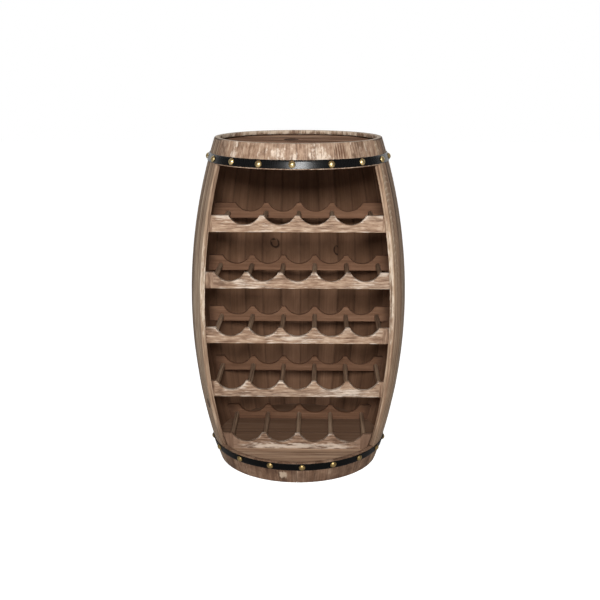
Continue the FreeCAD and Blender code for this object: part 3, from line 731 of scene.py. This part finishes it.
def addCradleBoard(stock, seed, node, shelf, tone, spots=(), blocks=(0, 0), endShade=0.0, crestWear=0.5):
    rng = np.random.default_rng(seed)
    offset, _ = lie(seed)
    low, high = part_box(node)
    front, back, foot, top = low.y, high.y, low.z, high.z
    wall = min(wallRadius(foot, barrel["thick"]), wallRadius(top, barrel["thick"])) - boardCut["clear"]
    shortest = math.sqrt(wall ** 2 - max(abs(front), abs(back)) ** 2)
    x, z = scallops(shelf["cradles"], shelf["pitch"], shortest - boardCut["endGap"], top)
    slope = np.arctan2(np.gradient(z), np.gradient(x))
    normal = np.stack([-np.sin(slope), np.cos(slope)], -1)
    swing = 1 + boardCut["roundSwing"] * waves(nextSeed(rng), boardCut["roundWave"])(x)
    # two more stations at each end, which follow the staves' curve
    x = np.concatenate([[-1, -0.99], x, [0.99, 1]])[:, None]
    z = np.concatenate([[top] * 2, z, [top] * 2])[:, None]
    normal = np.concatenate([[(0, 1)] * 2, normal, [(0, 1)] * 2])
    soften = boardCut["round"] * np.concatenate([[1, 1], swing, [1, 1]])[:, None]
    soft, nx, nz, one = boardCut["footRound"], normal[:, :1], normal[:, 1:], np.ones_like(x)
    bend, rows = soften * boardCut["bend"], np.array(boardCut["rows"])
    faceX, faceZ = x - nx * soften, z - nz * soften
    bendX, bendZ = x - nx * soften * boardCut["bend"], z - nz * soften * boardCut["bend"]
    riseX, riseZ = x + (faceX - x) * rows, foot + soft + (faceZ - foot - soft) * rows
    ringX = np.concatenate([x, x, riseX, faceX, bendX, x, x, x, bendX, faceX, riseX[:, ::-1], x, x], 1)
    ringZ = np.concatenate([foot * one, (foot + soft) * one, riseZ, faceZ, bendZ, z, z, z, bendZ, faceZ,
                            riseZ[:, ::-1], (foot + soft) * one, foot * one], 1)
    dent = boardCut["relief"] * hollows(nextSeed(rng), *boardCut["hollow"])(ringX, ringZ)
    ringY = np.concatenate([
        (front + soft) * one, np.full((len(x), 6), front), front + bend, front + soften,
        (front + back) / 2 * one,
        back - soften, back - bend, np.full((len(x), 6), back), (back - soft) * one], 1)
    ringY[:, 1:7] += dent[:, 1:7]
    ringY[:, 12:18] -= dent[:, 12:18]
    room = np.sqrt((wallRadius(ringZ, barrel["thick"]) - boardCut["clear"]) ** 2 - ringY ** 2)
    ringX[0], ringX[1] = -room[0], boardCut["endStep"] - room[1]
    ringX[-2], ringX[-1] = room[-2] - boardCut["endStep"], room[-1]
    wear = boardCut["wear"] + boardCut["wearSwing"] * waves(nextSeed(rng), boardCut["wearWave"])(ringX)
    crest = crestWear * np.clip(1 - (top - z) / boardCut["depth"], 0, 1) ** 2
    crestEdge = np.exp(-np.abs(z - ringZ) / (boardCut["edgeWear"] + boardCut["crestReach"] * crest))
    footEdge = boardCut["footShare"] * np.exp(-(ringZ - foot) / boardCut["footWear"])
    edge = wear * np.maximum((0.5 + crest) * crestEdge, footEdge)
    pale, dark = patches(ringX, ringZ - foot, spots, "x")
    # painted shade: the back boards darken towards their ends, where the staves shade them
    nearEnd = (np.abs(ringX) - high.x + boardCut["endShadeReach"]) / boardCut["endShadeFade"]
    dark = dark + endShade * np.clip(nearEnd, 0, 1)
    centre = (x[1:] + x[:-1]) / 2
    inBlock = (centre < blocks[0] - high.x) | (centre > high.x - blocks[1])
    inBlock[[0, 1, -2, -1]] = sum(blocks) > 0
    grain = np.stack([ringX, ringZ - foot, ringY - front], -1) + offset
    marks = np.stack([edge, pale, dark], -1)
    stock.loft(np.stack([ringX, ringY, ringZ], -1), grain, marks, noKnot(ringX.shape), tone,
               inBlock.astype(int), int(sum(blocks) > 0))


for number, shelf in shelves.items():
    node, stock = f"front_cradle_{number}", Stock()
    addCradleBoard(stock, seeds["frontBoard"] + number, node, shelf, shelf["tone"], shelf["spots"],
                   shelf["endBlocks"], crestWear=shelf["crestWear"])
    stock.build(node + "_board", [frontBoardWood, endBlockWood], "front_board_wood", [node])
    node, stock = f"back_cradle_{number}", Stock()
    addCradleBoard(stock, seeds["backBoard"] + number, node, shelf, shelf["backTone"],
                   endShade=shelf["backEndShade"])
    stock.build(node + "_board", [backBoardWood], "back_board_wood", [node])
print("scalloped boards made")

# Rods
rodWood = wood("rod_wood", {
    **staveLook,
    "stops": [(0.1, (88, 67, 52)), (0.4, (132, 106, 85)), (0.62, (158, 131, 107)), (0.9, (188, 162, 138))],
    "greyStops": [
        (0.1, (87, 75, 65)), (0.4, (128, 112, 98)), (0.62, (150, 134, 119)), (0.9, (177, 162, 147))],
    "grey": 0.12, "ring": 0.003, "sway": 0.01, "streak": 1.0, "streakStretch": (5, 220, 220), "rings": 0.05,
    "wash": 0.3, "washFrom": 0.8, "shine": 0.12,
})
rodCut = {"sides": 20, "stations": 30, "wobble": 0.00012, "wobbleWave": 0.07}
rodTurn = np.arange(rodCut["sides"]) * 2 * math.pi / rodCut["sides"]
for number, shelf in shelves.items():
    node, count = f"shelf_{number}_rods", shelf["cradles"]
    low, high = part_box(node)
    y = np.linspace(low.y, high.y, rodCut["stations"])[:, None]
    stock = Stock()
    for index in range(count + 1):
        seed = seeds["rod"] + number * 10 + index
        offset, tone = lie(seed)
        radius = (high.z - low.z) / 2 - rodCut["wobble"] * (1 + waves(seed, rodCut["wobbleWave"])(y))
        sideways, upward = radius * np.cos(rodTurn), radius * np.sin(rodTurn)
        shift = shelf["endRodShift"] * (int(index == count) - int(index == 0))
        x = (index - count / 2 + shift) * shelf["pitch"] + sideways
        along = np.broadcast_to(y, x.shape)
        rings = np.stack([x, along, (low.z + high.z) / 2 + upward], -1)
        grain = np.stack([along, sideways, upward], -1) + offset
        stock.loft(rings, grain, np.zeros(x.shape + (3,)), noKnot(x.shape), tone, 0)
    stock.build(node + "_dowels", [rodWood], "rod_wood", [node])
print("rods made")

# Hoops
hoopLook = {
    "paint": (8, 8, 8), "bare": (86, 78, 70), "scratched": (52, 50, 48), "rough": 0.27, "shine": 0.42,
    "brushStretch": (700, 16, 16), "blotchStretch": (18, 70, 70), "scratchStretch": (9, 900, 900),
    "scratchSpan": (0.69, 0.78), "scratchShare": 0.2,
    "wornSpan": (0.86, 1.15), "wornShare": 0.6, "wornBlotch": 1.1,
    "roughBrush": 0.2, "roughBlotch": 0.16, "bump": 0.12, "bumpDepth": 0.0004,
    "brushRelief": 0.3, "blotchRelief": 0.5, "scratchRelief": -0.4,
}
# a darker, less glossy copy of the same paint: painted shade on the lower hoop, which faces down
shadedHoopLook = {**hoopLook, "paint": (7, 7, 7), "rough": 0.42, "shine": 0.08}


def hoopSteel(name, look):
    shade = Shade(bpy.data.materials.new(name))
    grain = shade.attribute("grain")
    edge, _, _ = shade.parts(shade.attribute("marks"))
    brushed = shade.noise(grain, look["brushStretch"], 3, 0.6)
    blotch = shade.noise(grain, look["blotchStretch"], 4, 0.6)
    scratch = shade.fade(shade.noise(grain, look["scratchStretch"], 2), *look["scratchSpan"])
    worn = shade.fade(edge + (blotch - 0.5) * look["wornBlotch"], *look["wornSpan"]) * look["wornShare"]
    color = shade.mix(worn, linear(look["paint"]), linear(look["bare"]))
    color = shade.mix(scratch * look["scratchShare"], color, linear(look["scratched"]))
    rough = look["rough"] + (brushed - 0.5) * look["roughBrush"] + (blotch - 0.5) * look["roughBlotch"]
    height = brushed * look["brushRelief"] + blotch * look["blotchRelief"] + scratch * look["scratchRelief"]
    shade.feed({"Base Color": color, "Specular IOR Level": look["shine"], "Roughness": rough,
                "Normal": shade.bump(height, look["bump"], look["bumpDepth"])})
    return shade.material


hoopCut = {"clear": 0.0002, "thick": 0.002, "round": 0.0005, "stations": 240, "wobble": 0.00018,
           "wobbleWave": 1.3, "inwards": 1.5, "edgeWear": 0.0012, "grainRadius": 0.2}
hoopDepths = np.array([1, 1, 1, 1, 1, 0.87, 0.6, 0, 0, 0, 0.6, 0.87]) * hoopCut["thick"]
hoopTurn = np.arange(hoopCut["stations"]) * 2 * math.pi / hoopCut["stations"]
for node, seed, look in (("top_hoop", seeds["topHoop"], hoopLook),
                         ("bottom_hoop", seeds["bottomHoop"], shadedHoopLook)):
    low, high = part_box(node)
    soft, tall = hoopCut["round"], high.z - low.z
    # up the outer face and down the inner one
    rise = np.array([soft, 0.25 * tall, 0.5 * tall, 0.75 * tall, tall - soft, tall - softStep * soft,
                     tall, tall, 0.5 * tall, 0, 0, softStep * soft])
    bottomRadius, topRadius = (wallRadius(z, -hoopCut["clear"]) for z in (low.z, high.z))
    radius = bottomRadius + (topRadius - bottomRadius) * rise / tall + hoopDepths
    wobble = hoopCut["wobble"] * (waves(seed, hoopCut["wobbleWave"])(hoopTurn) - hoopCut["inwards"])
    radius = radius + wobble[:, None] * (hoopDepths > 0)
    z, around = np.broadcast_to(low.z + rise, radius.shape), np.broadcast_to(hoopTurn[:, None], radius.shape)
    rings = np.stack([radius * np.sin(around), -radius * np.cos(around), z], -1)
    grain = np.stack([around * hoopCut["grainRadius"], z, np.broadcast_to(hoopDepths, radius.shape)], -1)
    marks = np.zeros(radius.shape + (3,))
    marks[..., 0] = np.exp(-np.minimum(rise, tall - rise) / hoopCut["edgeWear"])
    stock = Stock()
    stock.loft(rings, grain, marks, noKnot(radius.shape), 0.5, 0, closed=True)
    stock.build(node + "_band", [hoopSteel(node + "_steel", look)], "hoop_steel", [node])
print("hoops made")

# Nails
nailLook = {
    "bright": (224, 198, 144), "aged": (150, 122, 72), "rough": 0.4,
    "patinaStretch": (260, 260, 260), "dentStretch": (420, 420, 420), "agedSpan": (0.3, 1.05),
    "edgeShare": 0.8, "patinaShare": 0.9, "toneShare": 0.3, "roughAged": 0.25, "roughPatina": 0.15,
    "patinaRelief": 0.4, "bump": 0.22, "bumpDepth": 0.0005,
}
# a darker copy of the same brass: painted shade on the nails of the lower hoop, which faces down
shadedNailLook = {**nailLook, "bright": (172, 147, 98), "aged": (66, 52, 29), "rough": 0.46}


def nailBrass(name, look):
    shade = Shade(bpy.data.materials.new(name))
    grain, tone = shade.attribute("grain"), shade.attribute("tone", "Fac")
    edge, _, _ = shade.parts(shade.attribute("marks"))
    patina = shade.noise(grain, look["patinaStretch"], 4, 0.6)
    dents = shade.noise(grain, look["dentStretch"], 2)
    aged = edge * look["edgeShare"] + (patina - 0.5) * look["patinaShare"] + (tone - 0.5) * look["toneShare"]
    aged = shade.fade(aged, *look["agedSpan"])
    shade.feed({
        "Base Color": shade.mix(aged, linear(look["bright"]), linear(look["aged"])), "Metallic": 1.0,
        "Roughness": look["rough"] + aged * look["roughAged"] + (patina - 0.5) * look["roughPatina"],
        "Normal": shade.bump(dents + patina * look["patinaRelief"], look["bump"], look["bumpDepth"]),
    })
    return shade.material


nailCut = {
    "count": 17, "radius": 0.008, "height": 0.00535, "shank": 0.0015, "bite": 0.006, "sideStep": 0.0006,
    "sides": 28, "rows": 12, "crown": 0.02, "rimTurn": 0.03, "rim": 0.0004, "rimShare": 0.99,
    "uneven": 0.012, "edgePower": 1.6,
}
nailRows = {  # shifts are in nail spaces, counted from the front
    "top_hoop": {"brass": nailBrass("nail_brass", nailLook), "seed": seeds["topNail"],
                 "side": -1, "shift": {-3: -0.04, -2: -0.03, -1: -0.08, 0: -0.11, 2: 0.03, 3: 0.06}},
    "bottom_hoop": {"brass": nailBrass("nail_brass_painted_shade", shadedNailLook), "seed": seeds["bottomNail"],
                    "side": 1, "shift": {-2: 0.13, -1: 0.2, 0: 0.17, 1: 0.13, 2: 0.09, 3: 0.06}},
}
ball = (nailCut["radius"] ** 2 + nailCut["height"] ** 2) / (2 * nailCut["height"])
lean = math.asin(nailCut["radius"] / ball) - nailCut["rimTurn"]
lean = np.linspace(nailCut["crown"], lean, nailCut["rows"])
rim, shank = nailCut["radius"], nailCut["shank"]
nailReach = np.concatenate([ball * np.sin(lean), [rim, rim * nailCut["rimShare"], shank, shank]])[:, None]
nailRise = np.concatenate([
    ball * np.cos(lean) - ball + nailCut["height"], [nailCut["rim"], 0, 0, -nailCut["bite"]]])[:, None]
nailTurn = np.arange(nailCut["sides"]) * 2 * math.pi / nailCut["sides"]
for hoop, row in nailRows.items():
    low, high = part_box(hoop)
    node, stock = hoop + "_nails", Stock()
    for index in range(nailCut["count"]):
        place = index - nailCut["count"] // 2
        angle = math.radians((place + row["shift"].get(place, 0)) * 360 / nailCut["count"])
        z = (low.z + high.z) / 2 + row["side"] * nailCut["sideStep"] * (place % 2)
        slope = math.asin((z - halfHeight) / arcRadius)
        ahead = np.array([math.sin(angle), -math.cos(angle), 0])
        out = ahead * math.cos(slope) + np.array([0, 0, math.sin(slope)])
        level = np.array([math.cos(angle), math.sin(angle), 0])
        upward = np.cross(level, out)
        seat = ahead * wallRadius(z, -hoopCut["clear"] - hoopCut["thick"]) + np.array([0, 0, z])
        rng = np.random.default_rng(row["seed"] + index)
        uneven = 1 + np.sin(nailTurn * rng.integers(2, 5) + rng.uniform(0, 6))
        reach = nailReach * (1 - nailCut["uneven"] * uneven)
        rise = np.broadcast_to(nailRise, reach.shape)
        local = np.stack([reach * np.cos(nailTurn), reach * np.sin(nailTurn), rise], -1)
        rings = seat + local[..., :1] * level + local[..., 1:2] * upward + local[..., 2:] * out
        marks = np.zeros(rings.shape)
        marks[..., 0] = np.clip(1 - rise / nailCut["height"], 0, 1) ** nailCut["edgePower"]
        grain = local + rng.uniform(0, 5, 3)
        stock.loft(rings, grain, marks, noKnot(reach.shape), rng.uniform(), 0)
    stock.build(node + "_heads", [row["brass"]], "nail_brass", [node])
print("nails made")


# Hidden strips, screws and brads keep their shapes
def stripGrain(shade):
    x, y, z = shade.parts(shade.node("ShaderNodeTexCoord", {}, {}, "Object"))
    return shade.node("ShaderNodeCombineXYZ", {}, {"X": y, "Y": x, "Z": z})


stripWood = wood("strip_wood", {
    **staveLook,
    "stops": [(0.1, (110, 82, 60)), (0.4, (156, 124, 94)), (0.65, (184, 152, 120)), (0.9, (208, 180, 148))],
    "grey": 0.0, "streak": 1.1, "wash": 0.0,
}, stripGrain)
screwLook = {
    "dark": (118, 116, 110), "light": (188, 186, 180), "cloudStretch": (300, 300, 300),
    "rough": 0.32, "roughCloud": 0.3, "bump": 0.15, "bumpDepth": 0.0003,
}
bradLook = {**screwLook, "dark": (58, 44, 35), "light": (92, 72, 58), "rough": 0.6}


def screwSteel(name, look):
    shade = Shade(bpy.data.materials.new(name))
    place = shade.node("ShaderNodeTexCoord", {}, {}, "Object")
    cloud = shade.noise(place, look["cloudStretch"], 3)
    shade.feed({
        "Base Color": shade.ramp(cloud, [(0.3, look["dark"]), (0.7, look["light"])]), "Metallic": 1.0,
        "Roughness": look["rough"] + (cloud - 0.5) * look["roughCloud"],
        "Normal": shade.bump(cloud, look["bump"], look["bumpDepth"]),
    })
    return shade.material


hiddenFinishes = {
    "_screws": screwSteel("screw_steel", screwLook), "_brads": screwSteel("brad_steel", bradLook),
    "batten": stripWood, "bearer": stripWood,
}
for node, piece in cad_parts.items():
    for part, finish in hiddenFinishes.items():
        if node.endswith(part) or node.startswith(("top_" + part, "floor_" + part)):
            piece.data.materials.clear()
            piece.data.materials.append(finish)
print("hidden pieces finished")

# Floor, light and camera
studio = {
    "floor": (204, 204, 204), "floorReach": 9, "floorRough": 0.9, "floorSeen": 0.9,
    "world": 0.13, "worldBehind": 0.9, "behindSpan": (0.45, 0.75),
    "key": {"power": 88, "size": (0.5, 0.48), "at": (0.02, -3.1, 1.63), "aim": (0, 0, 0.42)},
    "high": {"power": 11, "size": (0.4, 0.34), "at": (0.28, -2.2, 1.86), "aim": (0, 0, 0.6)},
    "left": {"power": 7.8, "size": (0.7, 1.2), "at": (-2.4, -1.1, 1.45), "aim": (0, 0, 0.5)},
}
black, white = (0, 0, 0, 1), (1, 1, 1, 1)
reach = studio["floorReach"]
floorMesh = bpy.data.meshes.new("pale_floor")
floorMesh.from_pydata([(-reach, -reach, 0), (reach, -reach, 0), (reach, reach, 0), (-reach, reach, 0)],
                      [], [(0, 1, 2, 3)])
floor = bpy.data.objects.new("pale_floor", floorMesh)
bpy.context.scene.collection.objects.link(floor)
paper = Shade(bpy.data.materials.new("pale_paper"))
inView = paper.node("ShaderNodeLightPath", {}, {}, "Is Camera Ray")
paper.feed({
    "Base Color": linear(studio["floor"]), "Roughness": studio["floorRough"], "Specular IOR Level": 0.0,
    "Emission Strength": studio["floorSeen"], "Emission Color": paper.mix(inView, black, white),
})
floorMesh.materials.append(paper.material)

sky = Shade(bpy.data.worlds.new("studio"), "Background")
bpy.context.scene.world = sky.material
inView = sky.node("ShaderNodeLightPath", {}, {}, "Is Camera Ray")
_, behind, _ = sky.parts(sky.node("ShaderNodeTexCoord", {}, {}, "Generated"))
dim, bright = ((studio[key],) * 3 + (1,) for key in ("world", "worldBehind"))
glow = sky.mix(sky.fade(behind, *studio["behindSpan"]), dim, bright)
sky.feed({"Strength": 1.0, "Color": sky.mix(inView, glow, white)})


def areaLight(name, power, size, at, aim):
    light = bpy.data.lights.new(name, "AREA")
    light.energy, light.shape, (light.size, light.size_y) = power, "RECTANGLE", size
    lamp = bpy.data.objects.new(name, light)
    bpy.context.scene.collection.objects.link(lamp)
    way = np.array(aim) - np.array(at)
    lamp.location = at
    lamp.rotation_euler = (math.acos(-way[2] / np.linalg.norm(way)), 0, math.atan2(-way[0], way[1]))
    return lamp


areaLight("key_softbox", **studio["key"])
areaLight("high_softbox", **studio["high"])
areaLight("left_softbox", **studio["left"]).visible_glossy = False

view = {"at": (0.052, -2.286, 0.9845), "turn": (75.625, 0, 1.2), "lens": 57.15, "sensor": 36}
camera = bpy.data.cameras.new("camera")
camera.lens, camera.sensor_width = view["lens"], view["sensor"]
lookout = bpy.data.objects.new("camera", camera)
lookout.location = view["at"]
lookout.rotation_euler = [math.radians(part) for part in view["turn"]]
bpy.context.scene.collection.objects.link(lookout)
bpy.context.scene.camera = lookout
bpy.context.scene.view_settings.view_transform = "Standard"
print("studio set")
